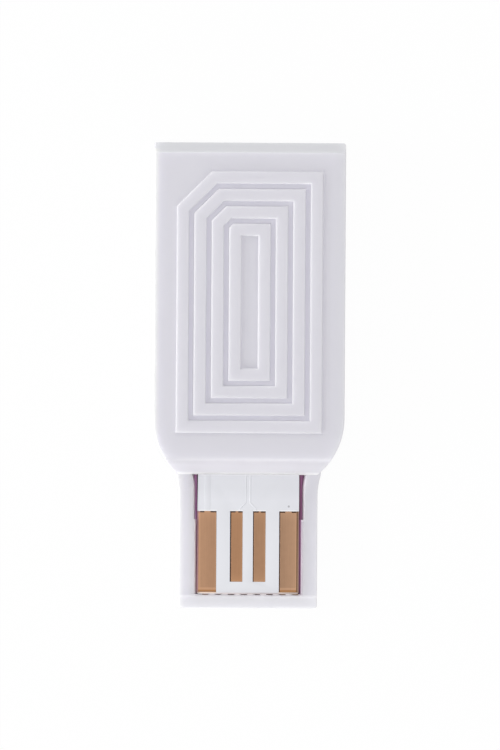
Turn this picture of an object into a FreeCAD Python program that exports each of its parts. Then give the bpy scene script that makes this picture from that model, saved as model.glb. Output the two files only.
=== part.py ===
import FreeCAD, Part
import math
import os

# A radio stick for the data port of a computer, in millimetres.
# The plug points along -Y and the ribbed face looks up, along +Z.
# The origin is the middle of the underside, where the stick lies on a table.
# A white housing is moulded in one piece: a ribbed head, two plug rails and a tip wall.
# A plum cover closes it from below and carries the circuit board, whose bare end
# with four gilt contacts is the plug.

# Housing, seen from above
head_length = 28.88
head_width = 16.7
head_corner_radius = 0.25
shoulder_length = 4.93
shoulder_radius = 6.38
plug_length = 11.62
plug_width = 12.1
plug_corner_radius = 0.25
plug_flare_length = 1.85
plug_flare_radius = 6.4

# Housing, seen from the side
head_height = 4.6
rail_height = 2.3
front_bevel_run = 1.27
front_crease_radius = 0.38
back_bevel_run = 0.87
back_bevel_drop = 1.35
back_crease_radius = 0.15
back_edge_radius = 0.2
top_edge_radius = 0.12
bottom_edge_chamfer = 0.15
tip_bevel_run = 0.99
tip_bevel_drop = 0.42
plug_edge_radius = 0.1
channel_edge_radius = 0.06

# Housing walls
side_wall = 1.1
roof_thickness = 1.1
tip_wall = 1.14
rail_lip_depth = 0.3

# Raised frames on the head, one inside the other
frame_count = 4
frame_width = 1.05
frame_gap = 0.465
frame_height = 0.22
frame_edge_radius = 0.15
frame_corner_cut = 3.04
relief_side_margin = 2.01
relief_back_margin = 2.54
relief_front_margin = 3.6

# Channel for the bare end of the board, and the pockets beside it at the head
channel_gap = 0.165
channel_corner_radius = 0.2
pocket_length = 3.9
pocket_depth = 0.285
pocket_slope = 0.19
pocket_flare = 0.19
pocket_flare_length = 1.35

# Cover
cover_gap = 0.05
cover_recess = 0.1
cover_thickness = 0.9
cover_lip_gap = 0.05
cover_lip_thickness = 0.4
cover_lip_drop = 0.05
cover_edge_chamfer = 0.12
support_rib_width = 0.6
support_rib_pitch = 5.2
support_rib_count = 5
support_rib_start = 1.2

# Posts of the cover that hold the board, and the bosses of the housing over them
post_radius = 0.55
post_top_gap = 0.4
post_tip_chamfer = 0.2
post_clearance = 0.1
boss_wall = 0.45
post_side = 4.9
front_post_setback = 5.4
back_post_setback = 9.3

# Snap hooks of the cover
hook_length = 2.0
hook_thickness = 0.5
hook_top_gap = 0.4
hook_barb = 0.25
hook_barb_height = 0.65
hook_wall_gap = 0.1
hook_clearance = 0.15
front_hook_setback = 9.4
back_hook_setback = 5.6

# Circuit board
board_thickness = 1.0
board_gap = 0.05
board_seat = 1.15
board_side_gap = 0.35
board_end_gap = 1.1
tongue_width = 8.84
tongue_end_gap = 0.09
tongue_corner_radius = 0.2
neck_setback = 0.6
board_corner_radius = 0.5
mask_thickness = 0.07
head_over_board_gap = 0.05

# Gilt contacts
contact_thickness = 0.05
contact_rear_setback = 3.15
outer_contact_end_gap = 0.17
inner_contact_end_gap = 1.06
outer_contact_width = 1.5
inner_contact_width = 1.1
inner_contact_offset = 1.0
outer_contact_edge_gap = 0.18
mask_edge_gap = 0.01

# Electronics on the board
radio_chip_size = 5.0
radio_chip_height = 0.85
radio_chip_land_count = 8
radio_chip_land_pitch = 0.5
radio_chip_land_width = 0.25
radio_chip_land_proud = 0.03
crystal_length = 3.2
crystal_width = 2.5
crystal_height = 0.75
crystal_base_height = 0.35
memory_chip_length = 3.0
memory_chip_width = 2.0
memory_chip_height = 0.6
lead_package_length = 2.9
lead_package_width = 1.6
lead_package_height = 0.85
lead_package_standoff = 0.08
lead_span = 2.7
lead_width = 0.4
lead_thickness = 0.15
lead_pitch = 0.95
chip_draft = 0.08
pin_mark_radius = 0.25
pin_mark_depth = 0.06
pin_mark_inset = 0.6
small_part_length = 1.0
small_part_width = 0.5
capacitor_height = 0.5
coil_height = 0.55
resistor_height = 0.35
bead_length = 1.6
bead_width = 0.8
bead_height = 0.8
end_cap_share = 0.25
end_cap_proud = 0.02
antenna_copper = 0.05
antenna_track_width = 0.45
antenna_turn_count = 7
antenna_turn_pitch = 1.25
antenna_turn_depth = 3.2
antenna_edge_gap = 0.7
surge_guard_setback = 3.4
part_gap = 0.6

# Places that follow from the sizes above
overall_length = head_length + plug_length
back_y = overall_length / 2
tip_y = -overall_length / 2
front_y = tip_y + plug_length
head_half = head_width / 2
plug_half = plug_width / 2
shoulder_y = front_y + shoulder_length
frame_step = frame_width + frame_gap
channel_end_y = tip_y + tip_wall
ledge_z = rail_height - rail_lip_depth
cavity_half = head_half - side_wall
cavity_top = head_height - roof_thickness
cavity_front_y = front_y + side_wall
cavity_back_y = back_y - side_wall
tongue_half = tongue_width / 2
channel_half = tongue_half + channel_gap
pocket_half = channel_half + pocket_depth
lip_inner_x = tongue_half + cover_lip_gap
lip_outer_x = lip_inner_x + cover_lip_thickness
plug_cavity_half = lip_outer_x + cover_gap
cover_top = cover_recess + cover_thickness
board_top = board_seat + board_thickness
bare_top = board_top - mask_thickness
tongue_end_y = channel_end_y + tongue_end_gap
board_half = cavity_half - board_side_gap
board_back_y = cavity_back_y - board_end_gap
contact_rear_y = front_y - contact_rear_setback
outer_contact_x = tongue_half - outer_contact_edge_gap - outer_contact_width / 2
post_top = cavity_top - post_top_gap
hook_top = cavity_top - hook_top_gap
antenna_high_y = board_back_y - antenna_edge_gap
antenna_low_y = antenna_high_y - antenna_turn_depth
lip_top = ledge_z - cover_lip_drop
post_places = [
    (-post_side, cavity_back_y - back_post_setback),
    (post_side, cavity_front_y + front_post_setback),
]
hook_rows = [
    cavity_front_y + front_hook_setback,
    cavity_back_y - back_hook_setback,
]
overcut = 1.0
tolerance = 0.001


def at(x, y, z=0.0):
    """A point."""
    return FreeCAD.Vector(x, y, z)


def line(start, end):
    """A straight edge."""
    return Part.LineSegment(start, end).toShape()


def corner_arc(before, here, after, radius):
    """The arc that rounds one corner of an outline."""
    to_before = (before - here).normalize()
    to_after = (after - here).normalize()
    half_angle = to_before.getAngle(to_after) / 2
    reach = radius / math.tan(half_angle)
    inward = (to_before + to_after).normalize()
    middle = here + inward * (radius / math.sin(half_angle) - radius)
    return Part.Arc(here + to_before * reach, middle, here + to_after * reach).toShape()


def outline(corners, z=0.0):
    """A closed wire through corners (x, y) or (x, y, radius) in the order given."""
    points = [at(corner[0], corner[1], z) for corner in corners]
    arcs = []
    for index, corner in enumerate(corners):
        after = points[(index + 1) % len(points)]
        if len(corner) > 2 and corner[2] > 0:
            arcs.append(corner_arc(points[index - 1], points[index], after, corner[2]))
        else:
            arcs.append(None)
    edges = []
    for index, arc in enumerate(arcs):
        next_index = (index + 1) % len(points)
        start = points[index]
        end = points[next_index]
        if arc:
            edges.append(arc)
            start = arc.lastVertex(True).Point
        if arcs[next_index]:
            end = arcs[next_index].firstVertex(True).Point
        edges.append(line(start, end))
    return Part.Wire(edges)


def rise(wire, bottom, top):
    """The solid over an outline, between two heights."""
    solid = Part.Face(wire).extrude(at(0, 0, top - bottom))
    solid.translate(at(0, 0, bottom))
    return solid


def across(corners, half_width):
    """The solid with a (y, z) outline that reaches half_width to each side of the middle."""
    solid = rise(outline(corners), -half_width, half_width)
    solid.rotate(at(0, 0), at(1, 1, 1), 120)
    return solid


def along(corners, half_length, centre_y):
    """The solid with an (x, z) outline that reaches half_length before and behind centre_y."""
    solid = rise(outline(corners), -half_length, half_length)
    solid.rotate(at(0, 0), at(1, 0), 90)
    solid.translate(at(0, centre_y))
    return solid


def block(half_width, low_y, high_y, bottom, top):
    """A block about the middle plane."""
    size = at(2 * half_width, high_y - low_y, top - bottom)
    return Part.makeBox(size.x, size.y, size.z, at(-half_width, low_y, bottom))


def mirrored(shape):
    """The same shape on the other side of the middle plane."""
    return shape.mirror(at(0, 0), at(1, 0))


def both_sides(shape):
    """A shape and its mirror image."""
    return [shape, mirrored(shape)]


def head_wire(inset):
    """Outline of the head: straight sides, and shoulders that round in to the front edge."""
    side_x = head_half - inset
    front = front_y + inset
    back = back_y - inset
    radius = shoulder_radius - inset
    centre = at(head_half - shoulder_radius, shoulder_y)
    reach = math.sqrt(radius ** 2 - (shoulder_y - front) ** 2)
    end_angle = math.atan2(front - shoulder_y, reach)
    front_corner = at(centre.x + reach, front)
    middle = centre + at(math.cos(end_angle / 2), math.sin(end_angle / 2)) * radius
    shoulder = Part.Arc(front_corner, middle, at(side_x, shoulder_y)).toShape()
    corner_start = at(side_x, back - head_corner_radius)
    corner = corner_arc(corner_start, at(side_x, back), at(0, back), head_corner_radius)
    right = [shoulder, line(at(side_x, shoulder_y), corner_start), corner]
    left = [mirrored(edge) for edge in right]
    corner_end = at(side_x - head_corner_radius, back)
    back_edge = line(corner_end, at(-corner_end.x, back))
    front_edge = line(front_corner, at(-front_corner.x, front))
    return Part.Wire(Part.__sortEdges__(right + left + [back_edge, front_edge]))


def head_block():
    """The outside of the head, with its bevelled front and back and its soft upper edge."""
    side = [
        (front_y, 0),
        (front_y, rail_height),
        (front_y + front_bevel_run, head_height, front_crease_radius),
        (back_y - back_bevel_run, head_height, back_crease_radius),
        (back_y, head_height - back_bevel_drop, back_edge_radius),
        (back_y, 0),
    ]
    body = rise(head_wire(0), 0, head_height).common(across(side, head_half))
    top_edges = []
    for edge in body.Edges:
        box = edge.BoundBox
        if box.ZMin > head_height - tolerance and box.YLength > box.XLength:
            top_edges.append(edge)
    return body.makeFillet(top_edge_radius, top_edges)


def plug_wire():
    """Outline of the plug: parallel sides that flare gently where they meet the head."""
    flare_start = front_y - plug_flare_length
    root_y = cavity_front_y
    sweep = math.asin((front_y - flare_start) / plug_flare_radius)
    centre = at(plug_half + plug_flare_radius, flare_start)
    middle = centre - at(math.cos(sweep / 2), -math.sin(sweep / 2)) * plug_flare_radius
    end = centre - at(math.cos(sweep), -math.sin(sweep)) * plug_flare_radius
    flare = Part.Arc(at(plug_half, flare_start), middle, end).toShape()
    corner_point = at(plug_half, tip_y)
    corner = corner_arc(at(0, tip_y), corner_point, at(plug_half, flare_start), plug_corner_radius)
    corner_end = at(plug_half, tip_y + plug_corner_radius)
    root = at(end.x, root_y)
    right = [corner, line(corner_end, at(plug_half, flare_start)), flare, line(end, root)]
    left = [mirrored(edge) for edge in right]
    tip_x = plug_half - plug_corner_radius
    ends = [line(at(-tip_x, tip_y), at(tip_x, tip_y)), line(root, at(-root.x, root_y))]
    return Part.Wire(Part.__sortEdges__(right + left + ends))


def plug_block():
    """The outside of the plug, with the slope that leads it into the port."""
    body = rise(plug_wire(), 0, rail_height)
    lead_in = [
        (tip_y - overcut, rail_height + overcut),
        (tip_y - overcut, rail_height - tip_bevel_drop),
        (tip_y, rail_height - tip_bevel_drop),
        (tip_y + tip_bevel_run, rail_height),
        (tip_y + tip_bevel_run, rail_height + overcut),
    ]
    body = body.cut(across(lead_in, head_half))
    nose_z = rail_height - tip_bevel_drop
    rim = []
    for edge in body.Edges:
        box = edge.BoundBox
        if box.ZMin > nose_z - tolerance and box.YMin < cavity_front_y - tolerance:
            rim.append(edge)
    return body.makeFillet(plug_edge_radius, rim)


def frame_wire(inset):
    """Outline of a raised frame, whose back left corner is cut at 45 degrees."""
    half = head_half - relief_side_margin - inset
    front = front_y + relief_front_margin + inset
    back = back_y - relief_back_margin - inset
    cut = frame_corner_cut - (2 - math.sqrt(2)) * inset
    corners = [(-half, front), (half, front), (half, back)]
    if cut > 0:
        corners += [(-half + cut, back), (-half, back - cut)]
    else:
        corners += [(-half, back)]
    return outline(corners)


def raised_frames():
    """The nested frames of the relief, with their upper edges rounded off."""
    frames = []
    top = head_height + frame_height
    for step in range(frame_count):
        inset = step * frame_step
        root = head_height - roof_thickness / 2
        ring = rise(frame_wire(inset), root, top)
        ring = ring.cut(rise(frame_wire(inset + frame_width), root, top))
        rim = [edge for edge in ring.Edges if edge.BoundBox.ZMin > top - tolerance]
        frames.append(ring.makeFillet(frame_edge_radius, rim))
    return frames


def head_cavity():
    """The hollow of the head, open below, one wall thickness inside its outer faces."""
    side = [
        (front_y, -2 * overcut),
        (front_y, rail_height),
        (front_y + front_bevel_run, head_height),
        (back_y - back_bevel_run, head_height),
        (back_y, head_height - back_bevel_drop),
        (back_y, -2 * overcut),
    ]
    inner = Part.Face(outline(side)).makeOffset2D(-side_wall)
    solid = inner.extrude(at(0, 0, head_width))
    solid.translate(at(0, 0, -head_half))
    solid.rotate(at(0, 0), at(1, 1, 1), 120)
    hollow = solid.common(rise(head_wire(side_wall), -2 * overcut, cavity_top))
    return hollow


def pocket():
    """The pocket beside the board at the head, with a sloping wall that flares at its end.
    The flare starts in line with the wall, so half way along it is a quarter as wide."""
    inner_x = channel_half - side_wall
    end_y = front_y - pocket_length
    flare_y = front_y - pocket_flare_length
    wires = []
    for z, side_x in [(ledge_z, pocket_half - pocket_slope), (rail_height, pocket_half)]:
        flare = Part.Arc(
            at(side_x, flare_y, z),
            at(side_x + pocket_flare / 4, (flare_y + front_y) / 2, z),
            at(side_x + pocket_flare, front_y, z),
        ).toShape()
        edges = [
            line(at(inner_x, end_y, z), at(side_x, end_y, z)),
            line(at(side_x, end_y, z), at(side_x, flare_y, z)),
            flare,
            line(at(side_x + pocket_flare, front_y, z), at(inner_x, front_y, z)),
            line(at(inner_x, front_y, z), at(inner_x, end_y, z)),
        ]
        wires.append(Part.Wire(edges))
    return Part.makeLoft(wires, True, True)


def hook_wire_corners(grow):
    """Section (x, z) of a snap hook and its barb, or of the window that takes the barb."""
    face_x = cavity_half - hook_wall_gap
    barb_x = face_x + hook_wall_gap + hook_barb + grow
    low = hook_top - hook_barb_height - grow
    high = hook_top + grow
    return face_x, barb_x, low, high


def hook_windows():
    """Recesses in the side walls that the barbs of the cover snap into."""
    face_x, barb_x, low, high = hook_wire_corners(hook_clearance)
    section = [(face_x, low), (barb_x, low), (barb_x, high), (face_x, high)]
    windows = []
    for row in hook_rows:
        windows += both_sides(along(section, hook_length / 2 + hook_clearance, row))
    return windows


def bosses():
    """Hollow bosses under the roof that press on the board round the cover's posts."""
    radius = post_radius + post_clearance
    bottom = board_top + board_gap
    shapes = []
    for x, y in post_places:
        height = head_height - roof_thickness / 2 - bottom
        boss = Part.makeCylinder(radius + boss_wall, height, at(x, y, bottom))
        bore = Part.makeCylinder(radius, cavity_top - bottom, at(x, y, bottom))
        shapes.append(boss.cut(bore))
    return shapes


def channel():
    """The open channel over the plug's board, with rounded corners at the tip wall."""
    corners = [
        (-channel_half, front_y),
        (-channel_half, channel_end_y, channel_corner_radius),
        (channel_half, channel_end_y, channel_corner_radius),
        (channel_half, front_y),
    ]
    return rise(outline(corners), ledge_z - overcut, rail_height + overcut)


def soften_channel(body):
    """Round off the upper edges of the channel and its pockets."""
    reach = pocket_half + pocket_flare
    rim = []
    for edge in body.Edges:
        box = edge.BoundBox
        level = box.ZLength < tolerance and abs(box.ZMin - rail_height) < tolerance
        inside = box.XMax < reach + tolerance and box.XMin > -reach - tolerance
        if level and inside and box.YMin < front_y - tolerance:
            rim.append(edge)
    return body.makeFillet(channel_edge_radius, rim)


def top_housing():
    """The white moulding: head, relief, plug rails, tip wall, and the seats for the rest."""
    body = head_block().fuse([plug_block()] + raised_frames())
    seat_end = channel_end_y
    tunnel_top = board_top + head_over_board_gap
    tunnel_half = tongue_half + board_gap
    cuts = [
        head_cavity(),
        block(plug_cavity_half, seat_end, cavity_front_y + overcut, -overcut, ledge_z),
        channel(),
        block(tunnel_half, front_y - overcut, cavity_front_y + overcut, 0, tunnel_top),
    ]
    cuts += both_sides(pocket())
    cuts += hook_windows()
    body = body.cut(cuts)
    body = soften_channel(body.fuse(bosses()).removeSplitter())
    return chamfer_underside(body, bottom_edge_chamfer, 0)


def chamfer_underside(body, size, z):
    """Break the outermost lower edges of a piece."""
    bottom = None
    for face in body.Faces:
        box = face.BoundBox
        if abs(box.ZMin - z) < tolerance and box.ZLength < tolerance:
            bottom = face
    return body.makeChamfer(size, bottom.OuterWire.Edges)


def cover_floor():
    """The flat floor of the cover, a running gap inside the housing's walls."""
    head = rise(head_wire(side_wall + cover_gap), cover_recess, cover_top)
    plug_end = channel_end_y + cover_gap
    plug = block(lip_outer_x, plug_end, cavity_front_y + overcut, cover_recess, board_seat)
    return head.fuse(plug).removeSplitter()


def cover_lips():
    """Low walls of the cover that stand beside the bare end of the board."""
    low_y = channel_end_y + cover_gap
    section_y = (low_y + cavity_front_y) / 2
    half_length = (cavity_front_y - low_y) / 2
    corners = [
        (lip_inner_x, cover_top),
        (lip_outer_x, cover_top),
        (lip_outer_x, lip_top),
        (lip_inner_x, lip_top),
    ]
    return both_sides(along(corners, half_length, section_y))


def cover_ribs():
    """Cross ribs that carry the board above the floor of the head."""
    shapes = []
    for index in range(support_rib_count):
        low = cavity_front_y + support_rib_start + index * support_rib_pitch
        half = head_half - shoulder_radius + side_wall
        shapes.append(block(half, low, low + support_rib_width, cover_top, board_seat))
    return shapes


def cover_posts():
    """Posts that pass through the board into the bosses of the housing."""
    shapes = []
    for x, y in post_places:
        root = cover_top - cover_thickness / 2
        post = Part.makeCylinder(post_radius, post_top - root, at(x, y, root))
        tip = [edge for edge in post.Edges if edge.BoundBox.ZMin > post_top - tolerance]
        shapes.append(post.makeChamfer(post_tip_chamfer, tip))
    return shapes


def cover_hooks():
    """Snap hooks that stand along the side walls."""
    face_x, barb_x, low, high = hook_wire_corners(0)
    root = cover_top - cover_thickness / 2
    section = [
        (face_x - hook_thickness, root),
        (face_x, root),
        (face_x, low),
        (barb_x, low + hook_barb / 4),
        (face_x, high),
        (face_x - hook_thickness, high, hook_thickness / 3),
    ]
    shapes = []
    for row in hook_rows:
        shapes += both_sides(along(section, hook_length / 2, row))
    return shapes


def base_cover():
    """The plum moulding that closes the underside and carries the board."""
    pieces = cover_lips() + cover_ribs() + cover_posts() + cover_hooks()
    body = cover_floor().fuse(pieces).removeSplitter()
    return chamfer_underside(body, cover_edge_chamfer, cover_recess)


def board_wire():
    """Outline of the board: a narrow end for the plug and a wide one in the head."""
    neck_y = cavity_front_y + neck_setback
    flare = board_half - tongue_half
    half = tongue_half
    corners = [
        (-half, tongue_end_y, tongue_corner_radius),
        (half, tongue_end_y, tongue_corner_radius),
        (half, neck_y, board_corner_radius),
        (board_half, neck_y + flare, board_corner_radius),
        (board_half, board_back_y, board_corner_radius),
        (-board_half, board_back_y, board_corner_radius),
        (-board_half, neck_y + flare, board_corner_radius),
        (-half, neck_y, board_corner_radius),
    ]
    return outline(corners)


def contact_slab(centre_x, width, end_gap, thickness):
    """A slab on the bare board, from the rear end of the contacts to a gap before the board's end."""
    low = tongue_end_y + end_gap
    return Part.makeBox(width, contact_rear_y - low, thickness, at(centre_x - width / 2, low, bare_top))


def circuit_board():
    """The board: lacquered white on top, and bare round each contact."""
    body = rise(board_wire(), board_seat, board_top)
    bay = contact_slab(inner_contact_offset, inner_contact_width, inner_contact_end_gap, overcut)
    mask_x = outer_contact_x - outer_contact_width / 2 - mask_edge_gap
    bare_width = tongue_width - mask_x
    bare_end_gap = outer_contact_end_gap - mask_edge_gap
    bare = contact_slab(mask_x + bare_width / 2, bare_width, bare_end_gap, overcut)
    cuts = both_sides(bay) + both_sides(bare)
    for x, y in post_places:
        hole = Part.makeCylinder(post_radius + post_clearance, 2 * overcut, at(x, y, cover_top))
        cuts.append(hole)
    notch_depth = hook_thickness + hook_wall_gap - board_side_gap + hook_clearance
    for row in hook_rows:
        notch = Part.makeBox(notch_depth + overcut, hook_length + 2 * hook_clearance, 2 * overcut,
                             at(board_half - notch_depth, row - hook_length / 2 - hook_clearance, cover_top))
        cuts += both_sides(notch)
    return body.cut(cuts)


def contacts():
    """The four contacts, from the ground one on the left to the power one on the right."""
    power = contact_slab(outer_contact_x, outer_contact_width, outer_contact_end_gap, contact_thickness)
    minus = contact_slab(inner_contact_offset, inner_contact_width, inner_contact_end_gap, contact_thickness)
    return {
        "contact_ground": mirrored(power),
        "contact_data_plus": mirrored(minus),
        "contact_data_minus": minus,
        "contact_power": power,
    }


def drafted_body(length, width, bottom, top):
    """A moulded chip body whose sides lean in towards its top."""
    wires = []
    for z, inset in [(bottom, 0), (top, chip_draft)]:
        half_length = length / 2 - inset
        half_width = width / 2 - inset
        corners = [
            (-half_width, -half_length),
            (half_width, -half_length),
            (half_width, half_length),
            (-half_width, half_length),
        ]
        wires.append(outline(corners, z))
    return Part.makeLoft(wires, True, True)


def with_pin_mark(body, length, width, top):
    """Press the round mark of the first pin into the top of a chip."""
    centre = at(-width / 2 + pin_mark_inset, length / 2 - pin_mark_inset, top - pin_mark_depth)
    return body.cut(Part.makeCylinder(pin_mark_radius, overcut, centre))


def radio_chip():
    """Square radio chip with short metal lands along its four sides."""
    half = radio_chip_size / 2
    body = drafted_body(radio_chip_size, radio_chip_size, radio_chip_land_proud, radio_chip_height)
    body = with_pin_mark(body, radio_chip_size, radio_chip_size, radio_chip_height)
    lands = []
    row = (radio_chip_land_count - 1) * radio_chip_land_pitch
    for index in range(radio_chip_land_count):
        x = index * radio_chip_land_pitch - row / 2 - radio_chip_land_width / 2
        land = Part.makeBox(radio_chip_land_width, 2 * radio_chip_land_width, 3 * radio_chip_land_proud,
                            at(x, half - 2 * radio_chip_land_width + radio_chip_land_proud, 0))
        for quarter in range(4):
            turned = land.copy()
            turned.rotate(at(0, 0), at(0, 0, 1), 90 * quarter)
            lands.append(turned)
    return body.fuse(lands)


def crystal():
    """Timing crystal: a ceramic tray with a metal lid."""
    inset = 2 * chip_draft
    base = Part.makeBox(crystal_width, crystal_length, crystal_base_height,
                        at(-crystal_width / 2, -crystal_length / 2, 0))
    lid = Part.makeBox(crystal_width - 2 * inset, crystal_length - 2 * inset, crystal_height,
                       at(-crystal_width / 2 + inset, -crystal_length / 2 + inset, 0))
    upright = [edge for edge in lid.Edges if edge.BoundBox.ZLength > crystal_height / 2]
    return base.fuse(lid.makeFillet(2 * chip_draft, upright))


def memory_chip():
    """Flat memory chip for the settings of the radio."""
    body = drafted_body(memory_chip_length, memory_chip_width, 0, memory_chip_height)
    return with_pin_mark(body, memory_chip_length, memory_chip_width, memory_chip_height)


def bent_lead(centre_y):
    """One lead of a leaded chip, bent down from the body and out along the board."""
    inner = lead_package_width / 2 - lead_thickness
    outer = lead_span / 2
    knee = (lead_package_width / 2 + outer) / 2
    high = lead_package_height / 2
    corners = [
        (inner, high),
        (knee - lead_thickness / 2, high, lead_thickness / 2),
        (knee - lead_thickness / 2, 0, lead_thickness),
        (outer, 0),
        (outer, lead_thickness),
        (knee + lead_thickness / 2, lead_thickness, lead_thickness / 2),
        (knee + lead_thickness / 2, high + lead_thickness, lead_thickness),
        (inner, high + lead_thickness),
    ]
    return along(corners, lead_width / 2, centre_y)


def leaded_chip(right_leads, left_leads):
    """Small chip with bent leads, given by their steps along each side."""
    body = drafted_body(lead_package_length, lead_package_width, lead_package_standoff, lead_package_height)
    leads = [bent_lead(step * lead_pitch) for step in right_leads]
    leads += [mirrored(bent_lead(step * lead_pitch)) for step in left_leads]
    return body.fuse(leads)


def small_part(length, width, height):
    """Capacitor, resistor, coil or bead: a ceramic body between two soldered end caps."""
    body = Part.makeBox(width, length, height - end_cap_proud,
                        at(-width / 2, -length / 2, end_cap_proud / 2))
    cap_length = end_cap_share * length
    caps = []
    for low in (-length / 2, length / 2 - cap_length):
        cap = Part.makeBox(width + 2 * end_cap_proud, cap_length, height,
                           at(-width / 2 - end_cap_proud, low, 0))
        caps.append(cap)
    return body.fuse(caps)


def antenna_trace():
    """Printed antenna: one copper track that winds to and fro at the back of the board."""
    half_track = antenna_track_width / 2
    row = (antenna_turn_count - 1) * antenna_turn_pitch
    runs = []
    for index in range(antenna_turn_count):
        x = index * antenna_turn_pitch - row / 2
        runs.append(Part.makeBox(antenna_track_width, antenna_turn_depth, antenna_copper,
                                 at(x - half_track, antenna_low_y, board_top)))
        if index < antenna_turn_count - 1:
            end = antenna_high_y - antenna_track_width if index % 2 == 0 else antenna_low_y
            link = Part.makeBox(antenna_turn_pitch, antenna_track_width, antenna_copper,
                                at(x, end, board_top))
            runs.append(link)
    return runs[0].fuse(runs[1:]).removeSplitter()


def placed(shape, x, y, turn=0):
    """A component set down on the board, turned about its own middle."""
    shape.rotate(at(0, 0), at(0, 0, 1), turn)
    shape.translate(at(x, y, board_top))
    return shape


def electronics():
    """What the board carries inside the head, from the plug end to the antenna."""
    half_part = small_part_length / 2
    half_chip = radio_chip_size / 2
    step = small_part_width + part_gap
    surge_y = cavity_front_y + surge_guard_setback
    beside_surge_x = lead_span + 2 * part_gap
    behind_surge_y = surge_y + lead_package_length / 2 + part_gap
    data_y = behind_surge_y + half_part
    chip_y = data_y + half_part + 2 * step + half_chip - small_part_width
    before_chip_y = chip_y - half_chip - part_gap - small_part_width / 2
    behind_chip_y = 2 * chip_y - before_chip_y
    crystal_x = half_chip + part_gap + crystal_width / 2
    crystal_y = chip_y + (radio_chip_size - crystal_length) / 2
    memory_x = -half_chip - part_gap - memory_chip_width / 2
    memory_y = chip_y - (radio_chip_size - memory_chip_length) / 2
    matching_y = antenna_low_y - part_gap - half_part
    nodes = {
        "surge_guard": placed(leaded_chip((-1, 0, 1), (-1, 0, 1)), 0, surge_y),
        "voltage_regulator": placed(leaded_chip((-1, 0, 1), (-1, 1)), -beside_surge_x, surge_y),
        "radio_chip": placed(radio_chip(), 0, chip_y),
        "timing_crystal": placed(crystal(), crystal_x, crystal_y),
        "memory_chip": placed(memory_chip(), memory_x, memory_y),
        "power_bead": placed(small_part(bead_length, bead_width, bead_height), lead_span, surge_y),
        "antenna_coil": placed(small_part(small_part_length, small_part_width, coil_height), 0, matching_y),
        "antenna_trace": antenna_trace(),
    }
    capacitors = [
        (-beside_surge_x, behind_surge_y, 90),
        (-radio_chip_size / 3, before_chip_y, 90),
        (0, before_chip_y, 90),
        (radio_chip_size / 3, before_chip_y, 90),
        (0, behind_chip_y, 90),
        (crystal_x - crystal_width / 3, behind_chip_y, 90),
        (crystal_x + crystal_width / 3, behind_chip_y, 90),
        (step, matching_y, 0),
    ]
    for index, (x, y, turn) in enumerate(capacitors, 1):
        body = small_part(small_part_length, small_part_width, capacitor_height)
        nodes["capacitor_%d" % index] = placed(body, x, y, turn)
    resistors = [
        (-step / 2, data_y, 0),
        (step / 2, data_y, 0),
        (memory_x, memory_y + memory_chip_length / 2 + step - small_part_width / 2, 90),
        (crystal_x, crystal_y - crystal_length / 2 - step + small_part_width / 2, 90),
    ]
    for index, (x, y, turn) in enumerate(resistors, 1):
        body = small_part(small_part_length, small_part_width, resistor_height)
        nodes["resistor_%d" % index] = placed(body, x, y, turn)
    return nodes


def main():
    """Write each piece to a file of its own."""
    os.makedirs("parts", exist_ok=True)
    nodes = {
        "top_housing": top_housing(),
        "base_cover": base_cover(),
        "circuit_board": circuit_board(),
    }
    nodes.update(contacts())
    nodes.update(electronics())
    for name, shape in nodes.items():
        shape.exportStep("parts/%s.step" % name)
        box = shape.BoundBox
        print("%-20s solids %d  valid %s  volume %8.3f  size %6.2f %6.2f %5.2f" % (
            name, len(shape.Solids), shape.isValid(), shape.Volume, box.XLength, box.YLength, box.ZLength))


main()
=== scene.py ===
# %% [markdown]
# # A white radio stick for a computer's data port
# The object is a small stick with a ribbed white head and a flat plug. Its solids come
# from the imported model, and this script gives them their looks: soft white plastic, a plum
# cover, a lacquered board with gilt contacts, and soft studio light from the left.
# Every length is in metres, and MM turns a maker's millimetres into metres.

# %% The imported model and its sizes
import math

import bmesh
import bpy
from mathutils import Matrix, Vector


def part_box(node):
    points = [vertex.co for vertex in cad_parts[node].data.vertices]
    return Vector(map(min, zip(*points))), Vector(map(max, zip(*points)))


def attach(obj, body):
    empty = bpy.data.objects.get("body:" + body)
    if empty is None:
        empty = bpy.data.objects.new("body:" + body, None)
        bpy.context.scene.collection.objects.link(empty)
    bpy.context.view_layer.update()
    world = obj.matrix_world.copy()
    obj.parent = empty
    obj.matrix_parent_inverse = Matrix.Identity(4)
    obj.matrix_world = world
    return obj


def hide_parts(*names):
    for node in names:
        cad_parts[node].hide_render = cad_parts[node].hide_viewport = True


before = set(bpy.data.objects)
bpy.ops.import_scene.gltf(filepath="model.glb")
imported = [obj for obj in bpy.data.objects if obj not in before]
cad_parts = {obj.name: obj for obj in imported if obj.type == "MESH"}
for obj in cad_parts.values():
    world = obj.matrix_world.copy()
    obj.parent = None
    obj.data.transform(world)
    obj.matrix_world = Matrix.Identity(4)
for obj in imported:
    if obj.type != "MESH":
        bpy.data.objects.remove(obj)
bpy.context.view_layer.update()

MM = 0.001
hair = 0.02 * MM
plug_length = 11.62 * MM
rail_top = 2.3 * MM
housing_low, housing_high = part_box("top_housing")
board_low, board_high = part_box("circuit_board")
head_front = housing_low.y + plug_length

# %% [markdown]
# ## Sums of wires
# Shader and geometry trees are easier to read as sums than as piles of nodes. A Wire holds
# one output socket. Python's own signs between wires each add a Math node, also where a
# plain number stands first, and `node` adds any other node.


# %% A socket that is written as a number
def math_sign(operation, turned=False):
    """A sign between two values as a Math node. Turned, it is the sign's reflected form."""
    def between(self, other):
        return self.sum(operation, *((other, self) if turned else (self, other)))
    return between


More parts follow.
